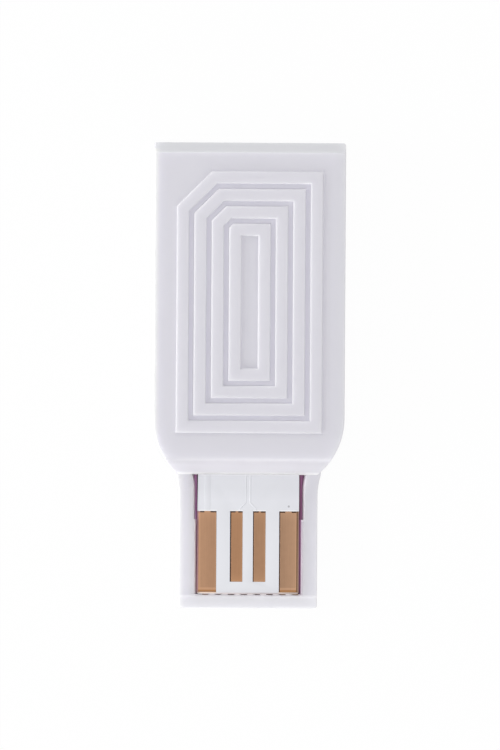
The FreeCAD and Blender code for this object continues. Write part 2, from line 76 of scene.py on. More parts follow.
class Wire:
    """One output socket of a tree. Without a socket it only adds nodes to its tree."""

    def __init__(self, tree, socket=None):
        self.tree = tree
        self.socket = socket

    def node(self, kind, settings=None, inputs=None, output=0):
        """Any node: its type, its settings, and the values or wires of its sockets."""
        made = self.tree.nodes.new(kind)
        for name, value in (settings or {}).items():
            setattr(made, name, value)
        for name, value in (inputs or {}).items():
            if isinstance(value, Wire):
                self.tree.links.new(value.socket, made.inputs[name])
            else:
                made.inputs[name].default_value = value
        return Wire(self.tree, made.outputs[output] if len(made.outputs) else None)

    def sum(self, operation, *values):
        """A Math node."""
        return self.node("ShaderNodeMath", {"operation": operation}, dict(enumerate(values)))

    def __floordiv__(self, other):
        return self.sum("FLOOR", self / other)

    def __abs__(self):
        return self.sum("ABSOLUTE", self)

    __add__ = __radd__ = math_sign("ADD")
    __sub__ = math_sign("SUBTRACT")
    __rsub__ = math_sign("SUBTRACT", turned=True)
    __mul__ = __rmul__ = math_sign("MULTIPLY")
    __truediv__ = math_sign("DIVIDE")
    __mod__ = math_sign("MODULO")
    __pow__ = math_sign("POWER")
    __gt__ = math_sign("GREATER_THAN")
    __lt__ = math_sign("LESS_THAN")


def largest(first, *others):
    """The largest of several values, the first of them a wire."""
    for other in others:
        first = first.sum("MAXIMUM", first, other)
    return first


def smallest(first, *others):
    """The smallest of several values, the first of them a wire."""
    for other in others:
        first = first.sum("MINIMUM", first, other)
    return first


def cleared(owner):
    """A wire into the emptied node tree of a material or a world."""
    owner.use_nodes = True
    owner.node_tree.nodes.clear()
    return Wire(owner.node_tree)


# %% [markdown]
# ## The camera
# The photograph looks straight down from far away, so a long lens more than a metre up comes
# close to it. The stick lies about a third of a degree clockwise, and the camera is turned the
# other way instead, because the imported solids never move.

# %% Camera straight above
photo_size = Vector((500, 750))
photo_scale = 11.5 / MM
stick_middle_px = Vector((248.75, 375.5))
camera_distance = 1.3
sharp_height = 3.5 * MM
camera_turn = math.radians(0.35)
sensor = 36.0

camera_data = bpy.data.cameras.new("camera")
camera_data.sensor_width = sensor
camera_data.lens = sensor * camera_distance / (photo_size.y / photo_scale)
camera_data.clip_end = 10 * camera_distance
camera = bpy.data.objects.new("camera", camera_data)
aim = (photo_size / 2 - stick_middle_px) / photo_scale
camera.location = (aim.x, -aim.y, sharp_height + camera_distance)
camera.rotation_euler = (0, 0, camera_turn)
bpy.context.scene.collection.objects.link(camera)
bpy.context.scene.camera = camera
bpy.context.scene.view_settings.view_transform = "Standard"
print("lens %.0f mm" % camera_data.lens)

# %% [markdown]
# ## The studio
# In the photograph the left side glows and the grooves of the relief darken only a little.
# That is a low, strong soft box on the left, with a weaker one in front and one behind. A
# single sun would be simpler, but its shadows would be hard. Each lamp is set by the
# brightness of its face, so that a larger lamp is also a stronger one.


# %% Soft boxes
def soft_box(name, place, size, radiance):
    """A rectangular lamp that looks at the stick, given by the brightness of its face."""
    data = bpy.data.lights.new(name, "AREA")
    data.shape = "RECTANGLE"
    data.size, data.size_y = size
    data.energy = radiance * math.pi * size[0] * size[1]
    lamp = bpy.data.objects.new(name, data)
    lamp.location = place
    lamp.rotation_euler = Vector(place).to_track_quat("Z", "Y").to_euler()
    lamp.visible_camera = False
    bpy.context.scene.collection.objects.link(lamp)
    print("%-9s %.2f W" % (name, data.energy))


soft_box("left_box", place=(-0.50, -0.06, 0.19), size=(0.40, 0.22), radiance=6.2)
soft_box("front_box", place=(0.0, -0.55, 0.16), size=(0.60, 0.25), radiance=2.25)
soft_box("back_box", place=(0.0, 0.60, 0.30), size=(0.60, 0.25), radiance=1.85)

# %% [markdown]
# A white tent fills the shadows. It could be a real dome, but a world colour does the same.
# It lights the stick at two thirds of white, so that pale plastic keeps its tones, and
# the camera, mirrors and clear pieces see it fully white.

# %% Tent
tent_brightness = 0.664
tent_colour = (0.99, 0.985, 1.0, 1)


def sees_backdrop(wire):
    """One where the ray comes from the camera, a mirror or a clear piece."""
    return largest(*(wire.node("ShaderNodeLightPath", output=name)
                     for name in ("Is Camera Ray", "Is Glossy Ray", "Is Transmission Ray")))


world = bpy.data.worlds.new("tent")
tent = cleared(world)
sky = sees_backdrop(tent) * (1 - tent_brightness) + tent_brightness
background = tent.node("ShaderNodeBackground", {}, {"Color": tent_colour, "Strength": sky})
tent.node("ShaderNodeOutputWorld", {}, {"Surface": background})
bpy.context.scene.world = world

# %% [markdown]
# The floor is white card. For the camera most of its brightness is its own, so it stays
# white out to the edges, and the rest is lit, so the stick keeps its shadow.

# %% White floor
floor_half = 3.0
floor_white = 0.9
floor_glow_share = 0.965

floor_mesh = bpy.data.meshes.new("floor")
corners = [(-1, -1), (1, -1), (1, 1), (-1, 1)]
floor_mesh.from_pydata([(x * floor_half, y * floor_half, 0) for x, y in corners], [], [(0, 1, 2, 3)])
floor = bpy.data.objects.new("floor", floor_mesh)
bpy.context.scene.collection.objects.link(floor)

card = bpy.data.materials.new("white_card")
paper = cleared(card)
lit = paper.node("ShaderNodeBsdfDiffuse", {}, {"Color": (floor_white, floor_white, floor_white, 1)})
glow = paper.node("ShaderNodeEmission", {}, {"Color": (1, 1, 1, 1), "Strength": 1.0})
share = sees_backdrop(paper) * floor_glow_share
mixed = paper.node("ShaderNodeMixShader", {}, {0: share, 1: lit, 2: glow})
paper.node("ShaderNodeOutputMaterial", {}, {"Surface": mixed})
floor_mesh.materials.append(card)

# %% [markdown]
# ## Finishes
# Every finish starts from the place of a point on the stick, so its grain stays put when
# the stick is turned. An image could hold such a grain too, but noise is sharp at any
# distance. `mottle` is noise of a given grain size. `fades` and `near` say how much of a
# tint a place gets, and `lay` puts such tints over a colour. `finish` joins a colour, a
# roughness and a fine relief into one Principled shader. What is the same all over is set
# on the shader's own sockets.


# %% Helpers for places
def new_finish(name):
    """An empty material, and the place of a point on the stick as a wire of its tree."""
    material = bpy.data.materials.new(name)
    return material, cleared(material).node("ShaderNodeTexCoord", output="Object")


def axes(place, names="XYZ"):
    """The coordinates of a point, one wire each."""
    return [place.node("ShaderNodeSeparateXYZ", {}, {0: place}, output=name) for name in names]


def clamped(value):
    """The same value, kept from 0 to 1."""
    return value.node("ShaderNodeClamp", {}, {"Value": value})


def fades(distance, reach):
    """One up to distance zero, and from there down to zero at the reach."""
    return clamped(1 - distance / reach)


def near(value, middle, reach):
    """One where a value is at the middle, down to zero at the reach on both sides."""
    return fades(abs(value - middle), reach)


# %% Helpers for colours
def stretched(place, scale):
    """The same point with each axis multiplied, so that a grain gets longer one way."""
    return place.node("ShaderNodeVectorMath", {"operation": "MULTIPLY"}, {0: place, 1: scale})


def mottle(place, grain, detail=2.0):
    """Noise from 0 to 1 whose spots are about one grain wide."""
    inputs = {"Vector": place, "Scale": 1 / grain, "Detail": detail, "Roughness": 0.55}
    return place.node("ShaderNodeTexNoise", {}, inputs)


def blend(share, one, other):
    """A colour between two, each of them a wire or its red, green and blue."""
    one, other = (end if isinstance(end, Wire) else (*end, 1) for end in (one, other))
    return share.node("ShaderNodeMix", {"data_type": "RGBA"}, {0: share, 6: one, 7: other}, output=2)


def lay(colour, *tints):
    """Lay tints over a colour, each given by its share and its own colour."""
    for share, tint in tints:
        colour = blend(share, colour, tint)
    return colour


def finish(material, colour, roughness, relief, relief_depth, **constants):
    """Join colour, roughness and relief into the shader and the material's output."""
    bump = {"Height": relief, "Distance": relief_depth, "Strength": 1.0}
    inputs = {"Base Color": colour, "Roughness": roughness, "Normal": colour.node("ShaderNodeBump", {}, bump)}
    inputs.update({name.replace("_", " "): value for name, value in constants.items()})
    surface = colour.node("ShaderNodeBsdfPrincipled", {}, inputs)
    colour.node("ShaderNodeOutputMaterial", {}, {"Surface": surface})
    print("%-25s %3d nodes" % (material.name, len(material.node_tree.nodes)))
    return material


# %% [markdown]
# ## White plastic, place by place
# The housing is a satin white plastic with a touch of violet. Light goes a little way in
# and comes out again: that is part of the glow along its left edges, and why the shadows in
# the grooves are so soft. A single colour would look dead, so light and shade are painted
# into the colour where a wall is thin, where walls throw light at each other and where the
# lamp falls. The next cells give a share from 0 to 1 for each such place, and the last one lays all the tints
# over another.
#
# Beside the board the plastic runs out to a thin lip over the plum cover, and the plum's
# colour is painted onto it as reflection and shade: in a band along the right lip, in the
# channel's two front corners, and on the lip of the tip wall. The slopes of the two pockets
# beside the board get painted light and a lilac painted reflection, fading out towards the head.


# %% Painted plum reflection and shade on the lips
tip_wall = 1.14 * MM
pocket_length = 3.9 * MM
channel_end = housing_low.y + tip_wall
pocket_end = head_front - pocket_length
slope_top = rail_top - hair


def painted_plum_reflection(place):
    """How much painted plum reflection and shade lies on the right lip, the channel's front corners and the
    tip's lip.
    """
    lip_edge = 4.585 * MM
    band_width = 0.30 * MM
    corner_radius = 0.2 * MM
    tip_reach = 0.16 * MM
    band_share = 0.9
    tip_share = 0.37
    x, y, z = axes(place)
    is_upper = z > rail_top / 2
    band = fades(x - lip_edge, band_width) * (x > lip_edge - band_width)
    band = band * (y > channel_end) * (y < pocket_end) * is_upper
    from_corner = largest(abs(abs(x) - lip_edge), abs(y - channel_end))
    corner = fades(from_corner, corner_radius) * (z < slope_top)
    tip_lip = fades(channel_end - y, tip_reach) * (y < channel_end)
    tip_lip = tip_lip * (abs(x) < lip_edge) * is_upper
    return largest(band * band_share, corner, tip_lip * tip_share)


def painted_pocket_light(place):
    """How much painted light and lilac reflection the slopes of the two pockets get, less towards the head.
    """
    slope_reach = 5.4 * MM
    slope_fade = 0.10 * MM
    rear_fade = 0.7 * MM
    x, y, z = axes(place)
    in_pocket = (y > pocket_end) * clamped((head_front - y) / rear_fade)
    in_pocket = in_pocket * (abs(x) < slope_reach)
    return in_pocket * clamped((slope_top - z) / slope_fade) * (z > rail_top / 2)


# %% [markdown]
# The lamp on the left shines right through the left rail and the tip wall, and that light is
# painted in, which makes them paler, most beside the channel. A painted glow lies on the very
# edge of the left lip. On the head's sloping front the lower edge gets a painted highlight, and
# the upper edge painted shade that makes it a little duller, most on the left.


# %% Painted light through thin walls, and painted glow, highlight and shade on lip and slope
def painted_wall_glow(place):
    """How much painted light shines through the left rail and the tip wall, most beside the channel."""
    rail_edge = -4.3 * MM
    glow_from = -6.1 * MM
    glow_width = 1.9 * MM
    tip_glow = 0.9 * MM
    tip_share = 0.8
    x, y, z = axes(place)
    rail = clamped((x - glow_from) / glow_width) * (x < rail_edge)
    rail = rail * (y < head_front) * clamped((y - channel_end) / tip_glow)
    tip = fades(channel_end - y, tip_glow) * (y < channel_end) * (z > rail_top / 2)
    return largest(rail, tip * tip_share)


def painted_lip_glow(place):
    """How much painted glow from the lamp's light lies on the very edge of the left lip."""
    lip_edge = -4.56 * MM
    lip_glow = 0.24 * MM
    lip_depth = 0.05 * MM
    x, y, z = axes(place)
    glow = near(x, lip_edge, lip_glow)
    return glow * (y < head_front) * (y > channel_end) * (z > rail_top - lip_depth)


def painted_edge_highlight(place):
    """How much painted highlight lies on the lower edge of the head's sloping front."""
    edge_glow = 0.26 * MM
    y, z = axes(place, "YZ")
    return near(y, head_front, edge_glow) * (z > rail_top + hair)


def painted_slope_shade(place):
    """How much painted shade dulls the upper edge of the head's sloping front, most on the left."""
    slope_length = 1.1 * MM
    edge_reach = 0.38 * MM
    askew = 0.02
    left_from = 3.0 * MM
    left_width = 2.0 * MM
    right_share = 0.5
    x, y = axes(place, "XY")
    to_left = clamped((-left_from - x) / left_width)
    reach = near(y + x * askew, head_front + slope_length, edge_reach)
    return reach * (right_share + (1 - right_share) * to_left)


# %% [markdown]
# ## The rule of the relief
# Four frames lie one inside the other on the head. They follow one rule: what a point is
# depends only on its inset, which is how far it lies inside the outermost edge. That edge
# has four sides and a 45 degree cut at the back left, and the inset is the smallest of the
# five distances. Going inwards, frames and floors take turns, and inside the fourth frame
# lies a slot. Height alone would tell the floors too, but not where each starts and ends.
# The frames are grown from the same sizes further down.

# %% Sizes of the relief
solid_rise = 0.22 * MM
frame_count = 4
frame_width = 1.11 * MM
frame_step = 1.515 * MM
slot_inset = (frame_count - 1) * frame_step + frame_width
relief_side = 1.98 * MM
relief_from_front = 3.6 * MM
relief_from_back = 2.50 * MM
relief_cut = 3.04 * MM
relief_middle = 0.03 * MM
relief_half = housing_high.x - relief_side
relief_front = head_front + relief_from_front
relief_back = housing_high.y - relief_from_back
head_top = housing_high.z - solid_rise

# %% [markdown]
# The floors get painted light, a little paler and more violet than the face, because their
# walls throw light at each other, and the slot gets painted shade that makes it duller. Along
# its right and its front wall each floor has a thin line of painted shade, half as dark on the
# right side of the head. A paler strip of painted light runs round the outermost frame, apart
# from its front, and along the slot's left wall.


# %% Painted light and shade on the floors between the frames
def relief_insets(place):
    """How far a point lies inside the left, right, front and back side of the relief."""
    x, y = axes(place, "XY")
    left = x + (relief_half - relief_middle)
    return left, relief_half + relief_middle - x, y - relief_front, relief_back - y


def on_face(place):
    """One on the head's top face, between the frames and round them."""
    depth = 0.3 * MM
    above = 0.03 * MM
    z = axes(place, "Z")[0]
    return (z > head_top - depth) * (z < head_top + above)


def painted_relief_light(place):
    """Three shares: painted light on the floor between each two frames, painted shade in the slot, and
    painted shade along the walls of each floor.
    """
    line_width = 0.10 * MM
    right_share = 0.5
    left, right, front, back = relief_insets(place)
    cut = (left + back - relief_cut) / math.sqrt(2)
    back_left = smallest(left, back, cut)
    front_right = smallest(right, front)
    inset = smallest(back_left, front_right)
    within = inset % frame_step
    face = on_face(place)
    slot = (inset > slot_inset) * face
    painted_floor_light = (inset > 0) * (within > frame_width) * face * (1 - slot)
    inner_shade_line = fades(frame_step - within, line_width) * (back_left < front_right)
    outer_shade_line = fades(within - frame_width, line_width) * (back_left > front_right)
    outer_shade_line = outer_shade_line * (right_share + (1 - right_share) * (front < right))
    return painted_floor_light, slot, (inner_shade_line + outer_shade_line) * painted_floor_light


def painted_light_strips(place, slot):
    """How much painted light lifts the shade in the strips outside the outermost frame and in the slot."""
    strip_width = 0.55 * MM
    rim_width = 0.45 * MM
    back_share = 0.6
    left_share = 0.4
    left, right, front, back = relief_insets(place)
    at_right = clamped(1 + right / strip_width) * (right < 0) * (back > 0)
    at_back = clamped(1 + back / rim_width) * (back < 0) * (left > relief_cut) * (right > 0)
    at_left = clamped(1 + left / rim_width) * (left < 0) * (back > relief_cut)
    outside = at_right + at_back * back_share + at_left * left_share
    in_slot = fades(left - slot_inset, strip_width) * slot
    return outside * (front > 0) * on_face(place) + in_slot


# %% [markdown]
# The slopes at the back of the head and at the tip get a painted tint, more neutral than the
# flats, as they face away from the violet of the light. The left edges of head and plug get a
# painted warm glow from the lamp, and the head's right edge painted shade that makes it duller.


# %% Painted light on the sloping ends and side edges
plug_half = 6.05 * MM


def painted_end_slopes(place):
    """How much painted neutral tint of the light the slopes at the back of the head and at the tip get."""
    back_slope = 0.87 * MM
    tip_slope = 0.95 * MM
    tip_fade = tip_slope / 4
    tip_share = 0.5
    y = axes(place, "Y")[0]
    tip = clamped((housing_low.y + tip_slope - y) / tip_fade)
    return (y > housing_high.y - back_slope) + tip * tip_share


def painted_side_edges(place):
    """Two shares: painted warm glow on the left edges of head and plug, and painted shade on the right edge
    of the head.
    """
    glow_width = 0.6 * MM
    dull_width = 1.1 * MM
    depth = 0.5 * MM
    plug_share = 0.5
    x, y, z = axes(place)
    on_head = (y > head_front) * (z > head_top - depth)
    on_plug = (y < head_front) * (z > rail_top - depth) * (z < rail_top + depth)
    head_left = fades(x + housing_high.x, glow_width) * on_head
    plug_left = fades(x + plug_half, glow_width) * on_plug * plug_share
    return head_left + plug_left, fades(housing_high.x - x, dull_width) * on_head


# %% [markdown]
# Now the plastic itself: a white with a slow cloud in it, all the tints of painted light,
# shade and reflection in turn, and the fine spark-eroded grain of the mould, which also varies
# the roughness. Subsurface scattering lets light travel about a millimetre inside the plastic.


# %% Satin white plastic
def white_plastic():
    """The housing's plastic with all its tints of painted light, shade and reflection."""
    material, place = new_finish("satin_white_plastic")
    cloud = mottle(place, 7 * MM)
    grain = mottle(place, 0.09 * MM, detail=3.0)
    painted_floor_light, slot, painted_wall_shade = painted_relief_light(place)
    painted_left_glow, painted_right_shade = painted_side_edges(place)
    # Apart from the cloud, each tint below is painted light, shade or plum reflection.
    colour = lay(
        blend(cloud, (0.715, 0.708, 0.752), (0.73, 0.724, 0.764)),
        (painted_wall_glow(place), (0.815, 0.805, 0.845)),
        (painted_lip_glow(place), (0.95, 0.86, 0.98)),
        (painted_edge_highlight(place), (1.0, 0.99, 1.0)),
        (painted_slope_shade(place), (0.65, 0.643, 0.68)),
        (painted_floor_light, (0.768, 0.759, 0.818)),
        (slot, (0.706, 0.70, 0.745)),
        (painted_light_strips(place, slot), (0.80, 0.79, 0.835)),
        (painted_wall_shade, (0.64, 0.63, 0.68)),
        (painted_end_slopes(place), (0.71, 0.715, 0.735)),
        (painted_left_glow, (0.79, 0.79, 0.765)),
        (painted_right_shade, (0.675, 0.675, 0.705)),
        (painted_plum_reflection(place), (0.38, 0.29, 0.38)),
        (painted_pocket_light(place), (0.93, 0.76, 0.96)),
    )
    return finish(
        material, colour, 0.38 + 0.12 * grain, grain, 0.0025 * MM,
        Subsurface_Weight=1.0, Subsurface_Radius=(1.0, 1.0, 1.0), Subsurface_Scale=1.1 * MM,
        IOR=1.46,
    )


white = white_plastic()

# %% [markdown]
# ## Plum plastic
# The cover is moulded in the same way from a deep plum plastic. It only shows as a thin line
# round the board and in the two pockets, but it is the whole underside. Its lips beside the
# board get painted light, the right one less than half as much as the left one. In the
# pockets only the left lip gets painted light, and that fades towards the head.


# %% Plum plastic
def painted_lip_light(place):
    """How much painted light lies on the cover's lips beside the board."""
    lip_low = 1.6 * MM
    right_share = 0.45
    pocket_share = 0.6
    rear_loss = 0.45
    x, y, z = axes(place)
    on_left = x < 0
    into_pocket = clamped((y - pocket_end) / (head_front - pocket_end))
    beside_rails = (y < pocket_end) * (right_share + (1 - right_share) * on_left)
    in_pocket = (y > pocket_end) * on_left * (pocket_share - rear_loss * into_pocket ** 4.0)
    return (z > lip_low) * (y < head_front) * (beside_rails + in_pocket)


def plum_plastic():
    """The cover's plastic with painted light on its lips."""
    material, place = new_finish("plum_plastic")
    cloud = mottle(place, 5 * MM)
    grain = mottle(place, 0.09 * MM, detail=3.0)
    colour = lay(blend(cloud, (0.30, 0.12, 0.245), (0.345, 0.142, 0.285)),
                 (painted_lip_light(place), (0.70, 0.34, 0.69)))
    return finish(material, colour, 0.42 + 0.14 * grain, grain, 0.003 * MM, IOR=1.46)


plum = plum_plastic()

# %% [markdown]
# ## White lacquer
# The board is glass fibre in brown resin. White lacquer covers it except where it is cut
# away round the contacts. The lacquer is poured and cured, so it is glossier than the
# plastic and its surface has a slow, shallow wave. A plated hole behind the right contact
# shows through it as one dark dot of painted shade. It turns cream with resin at the broken
# end, with a thin brown line before each outer contact. Behind each contact's window its rim
# gets a painted highlight. It gets painted light right under the edge of the head, painted
# shade of the head before that, most on the left, and a little painted light again halfway to the contacts.

# %% Places on the lacquer
contacts = sorted(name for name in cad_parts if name.startswith("contact"))
rear_shift = 0.03 * MM
pad_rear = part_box("contact_power")[1].y
window_rear = pad_rear - rear_shift


def plated_hole(place):
    """One in the small hole behind the right contact, whose shade is painted in as a near-black spot."""
    hole_place = (3.55 * MM, head_front - 2.75 * MM, board_high.z)
    hole_radius = 0.105 * MM
    away = place.node("ShaderNodeVectorMath", {"operation": "DISTANCE"},
                      {0: place, 1: hole_place}, output="Value")
    return clamped((hole_radius - away) / hair)


def painted_window_highlights(place):
    """How much painted highlight lies on the lacquer's rim behind each contact's window."""
    rim_reach = 0.15 * MM
    x, y = axes(place, "XY")
    behind = fades(y - window_rear, rim_reach) * (y > window_rear)
    boxes = [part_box(node) for node in contacts]
    return sum((x > low.x) * (x < high.x) * behind for low, high in boxes)


def resin_lines(place):
    """One on the brown lines between the broken end and the outer contacts."""
    line_end = 0.16 * MM
    outer_from = 2.7 * MM
    x, y = axes(place, "XY")
    from_end = y - board_low.y
    return (from_end > line_end / 2) * (from_end < line_end) * (abs(x) > outer_from)


def painted_head_light_and_shade(place):
    """Three shares: painted light right under the head's edge, painted shade of the head before it, and
    painted light on the paler band.
    """
    edge_reach = 0.14 * MM
    shade_reach = 1.9 * MM
    shade_width = 6.0 * MM
    middle_share = 0.2
    shade_share = 0.65
    band_middle = head_front - 2.25 * MM
    band_reach = 1.1 * MM
    x, y = axes(place, "XY")
    painted_light_at_head = near(y, head_front, edge_reach)
    painted_head_shade = fades(head_front - y, shade_reach) * clamped(middle_share - x / shade_width)
    painted_head_shade = painted_head_shade * (shade_share - shade_share * painted_light_at_head)
    return painted_light_at_head, painted_head_shade, near(y, band_middle, band_reach)


# %% White lacquer
def white_lacquer():
    """The board's lacquer with its hole's painted shade, resin, painted highlights on its rims, and painted
    light and shade near the head.
    """
    end_reach = 0.16 * MM
    hole_share = 0.95
    resin_share = 0.8
    material, place = new_finish("white_lacquer")
    wave = mottle(place, 0.8 * MM, detail=1.0)
    speck = mottle(place, 0.05 * MM)
    from_end = axes(place, "Y")[0] - board_low.y
    painted_light_at_head, painted_head_shade, painted_light_band = painted_head_light_and_shade(place)
    colour = lay(
        blend(speck, (0.755, 0.765, 0.80), (0.78, 0.79, 0.82)),
        (plated_hole(place) * hole_share, (0.03, 0.03, 0.03)),
        (fades(from_end, end_reach), (0.86, 0.76, 0.74)),
        (painted_light_at_head, (0.98, 0.97, 1.0)),
        (painted_head_shade, (0.68, 0.69, 0.72)),
        (painted_light_band, (0.80, 0.81, 0.845)),
        (painted_window_highlights(place), (1.0, 1.0, 1.0)),
        (resin_lines(place) * resin_share, (0.90, 0.66, 0.48)),
    )
    return finish(material, colour, 0.25 + 0.1 * speck, wave, 0.004 * MM, IOR=1.5)


lacquer = white_lacquer()

# %% [markdown]
# ## Bare laminate
# The bare laminate shows in three ways. Beside the outer contacts it is an open strip, a
# painted lit copy, pinkish, on the left where the lamp reaches it, and a painted shaded copy,
# brown, on the right, with a paler edge of painted light. In the narrow gaps round the
# contacts it gets painted shade of its own. At the board's edges the fibre runs along the width.


# %% Bare laminate
def bare_laminate():
    """Glass fibre in resin, with the grain along the width of the board, lit and shaded copies of its colour
    painted on the two sides, painted light on its right edge and painted shade in the gaps.
    """
    strip_edge = 4.16 * MM
    pale_from = 4.37 * MM
    gap_depth = 0.2 * MM
    dirt_share = 0.4
    pale_share = 0.7
    material, place = new_finish("bare_laminate")
    x, z = axes(place, "XZ")
    fibre = mottle(stretched(place, (0.25, 1.0, 1.6)), 0.06 * MM, detail=4.0)
    dirt = mottle(place, 0.5 * MM)
    painted_shaded_side = blend(fibre, (0.20, 0.105, 0.04), (0.42, 0.25, 0.125))
    painted_lit_side = blend(fibre, (0.62, 0.34, 0.36), (0.80, 0.49, 0.52))
    painted_gap_shade = (abs(x) < strip_edge) * (z > board_high.z - gap_depth)
    colour = lay(
        blend(x < 0, painted_shaded_side, painted_lit_side),
        (dirt * dirt_share, (0.17, 0.095, 0.05)),
        ((x > pale_from) * pale_share, (0.62, 0.40, 0.36)),
        (painted_gap_shade, (0.075, 0.028, 0.012)),
    )
    return finish(material, colour, 0.5 + 0.3 * fibre, fibre, 0.01 * MM, IOR=1.5)


laminate = bare_laminate()

# %% [markdown]
# ## Gilt
# The contacts are copper with a thin gilt plate. Many insertions have given them fine
# streaks along the plug and some worn patches. Each pad has a painted highlight along its
# rim, and brightens towards its ends. The outer ones also get a painted sheen, a little
# brighter towards the nearer side of the plug. The long ones end in a step at the tip, where
# the plate runs down to the board, painted darker as shade with a painted highlight beside it, so their
# brightening is at the rear alone.


# %% Gilt, made for one contact at a time
def tinted(tone, factor):
    """A tone made brighter or darker."""
    return tuple(min(1.0, factor * value) for value in tone)


def worn_gilt(place, low, high, tone, painted_sheen_tilt):
    """The colour and the streaks of the plate, with a painted sheen that grows from its middle to the right
    by the given amount.
    """
    worn_factor = 0.72
    streak_share = 0.55
    patch_share = 0.35
    x = axes(place, "X")[0]
    streak = mottle(stretched(place, (1.0, 0.04, 1.0)), 0.09 * MM, detail=4.0)
    patch = mottle(place, 0.45 * MM, detail=3.0)
    across = clamped((x - low.x) / (high.x - low.x))
    whole = blend(across, tinted(tone, 1 - painted_sheen_tilt), tinted(tone, 1 + painted_sheen_tilt))
    worn = blend(across, tinted(tone, worn_factor * (1 - painted_sheen_tilt)), tinted(tone, worn_factor * (1 + painted_sheen_tilt)))
    return blend(streak * streak_share + patch * patch_share, whole, worn), streak


def gilt(name, low, high, tone, painted_sheen_tilt):
    """Gilt plate between the corners of one contact, with painted highlights, painted sheen and painted
    shade.
    """
    is_long = high.y - low.y > 6.5 * MM
    rim_width = 0.16 * MM
    end_reach = 1.3 * MM
    step_width = 0.19 * MM
    painted_highlight_share = 0.35
    end_share = 0.55
    step_share = 0.85
    painted_highlight_tone = tinted(tone, 1.45)
    end_tone = tinted(tone, 1.16)
    material, place = new_finish(name)
    x, y = axes(place, "XY")
    middle = (low + high) / 2
    half = (high - low) / 2
    from_side = half.x - abs(x - middle.x)
    from_end = half.y - abs(y - middle.y)
    rim = fades(smallest(from_side, from_end), rim_width)
    near_end = fades(high.y - y if is_long else from_end, end_reach)
    colour, streak = worn_gilt(place, low, high, tone, painted_sheen_tilt)
    colour = lay(colour, (near_end * near_end * end_share, end_tone), (rim * painted_highlight_share, painted_highlight_tone))
    if is_long:
        painted_step_highlight = (y < low.y + 2 * step_width) * (y > low.y + step_width)
        painted_step_shade = y < low.y + step_width
        colour = lay(colour, (painted_step_highlight * painted_highlight_share, painted_highlight_tone),
                     (painted_step_shade * step_share, (0.40, 0.195, 0.08)))
    return finish(material, colour, 0.32 + 0.18 * streak, streak, 0.0015 * MM, Metallic=1.0)


# %% [markdown]
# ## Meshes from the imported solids
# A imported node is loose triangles. A copy with its seams merged can be shaded smooth:
# edges that turn sharply stay crisp, and the Weighted Normal modifier keeps large flats
# flat while a narrow rounded edge between them catches the light.


# %% Helpers for meshes
seam = 0.0002 * MM


def plain_mesh(piece):
    """Turn what a piece's modifiers show into its plain mesh."""
    bpy.context.view_layer.update()
    depsgraph = bpy.context.evaluated_depsgraph_get()
    mesh = bpy.data.meshes.new_from_object(piece.evaluated_get(depsgraph))
    piece.modifiers.clear()
    piece.data = mesh
    mesh.name = piece.name


def smooth(piece, sharp_angle=40):
    """Shade smooth with crisp edges and flat flats."""
    piece.data.shade_smooth()
    piece.data.set_sharp_from_angle(angle=math.radians(sharp_angle))
    weighted = piece.modifiers.new("flat_flats", "WEIGHTED_NORMAL")
    weighted.keep_sharp = True
    plain_mesh(piece)


def merged_copy(node, name, materials, reshape=None):
    """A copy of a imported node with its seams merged, and reshaped in mesh code if asked."""
    form = bmesh.new()
    form.from_mesh(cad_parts[node].data)
    bmesh.ops.remove_doubles(form, verts=form.verts, dist=seam)
    if reshape:
        reshape(form)
    mesh = bpy.data.meshes.new(name)
    form.to_mesh(mesh)
    form.free()
    for material in materials:
        mesh.materials.append(material)
    piece = bpy.data.objects.new(name, mesh)
    bpy.context.scene.collection.objects.link(piece)
    return piece


def settle(piece, slot, *nodes):
    """Let a finished piece ride on the stick and hide the nodes it replaces; the slot is not used."""
    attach(piece, "root")
    if nodes:
        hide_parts(*nodes)
    triangles = sum(len(face.vertices) - 2 for face in piece.data.polygons)
    print("%-27s %6d triangles" % (piece.name, triangles))


# %% [markdown]
# ## The white housing
# Head, rails and tip wall are one moulding, and its solid is right as it is. Only the
# frames on the head are pressed flat into the top face here, because the next step grows
# them again with finer edges than the solid has. The plug's opening goes a hair to the
# right and its left pocket becomes narrower, as the photograph shows them.

# %% Housing without its frames
left_lip_slide = 0.03 * MM
right_lip_slide = 0.04 * MM
pocket_slide = 0.13 * MM


def slide_opening(form):
    """Move the edges of the plug's opening to the right, that of the left pocket most."""
    opening_half = 5.6 * MM
    pocket_from = 4.62 * MM
    ledge = 1.9 * MM
    for vert in form.verts:
        in_plug = vert.co.y < head_front + seam and vert.co.z > ledge
        if not in_plug or abs(vert.co.x) > opening_half:
            continue
        if vert.co.x < -pocket_from:
            vert.co.x += pocket_slide
        elif vert.co.x < 0:
            vert.co.x += left_lip_slide
        else:
            vert.co.x += right_lip_slide


def flatten_frames(form):
    """Press the relief into the head's top face, and make that face one piece again."""
    for vert in form.verts:
        vert.co.z = min(vert.co.z, head_top)
    slide_opening(form)
    bmesh.ops.dissolve_degenerate(form, edges=form.edges, dist=seam)
    flat = {face for face in form.faces if min(vert.co.z for vert in face.verts) > head_top - seam}
    edges = [edge for edge in form.edges
             if edge.link_faces and all(face in flat for face in edge.link_faces)]
    bmesh.ops.dissolve_edges(form, edges=edges, use_verts=True)
    print("edges taken out of the top face:", len(edges))


housing = merged_copy("top_housing", "white_housing", [white], flatten_frames)

# %% [markdown]
# ## The raised frames
# Frames could be drawn as outlines and extruded, but they follow the rule given above, so
# one grid of points for each frame is enough. Each point knows its frame, its corner and
# its place on the round-edged section from its own index, and Geometry Nodes set its
# position from those. The 45 degree cut shrinks with the inset, so the slot has a square
# corner. The frames are a hair wider than the solid's and lie a hair to the right, as in
# the photograph.


# %% A tree with named inputs
socket_kinds = {float: "NodeSocketFloat", int: "NodeSocketInt"}


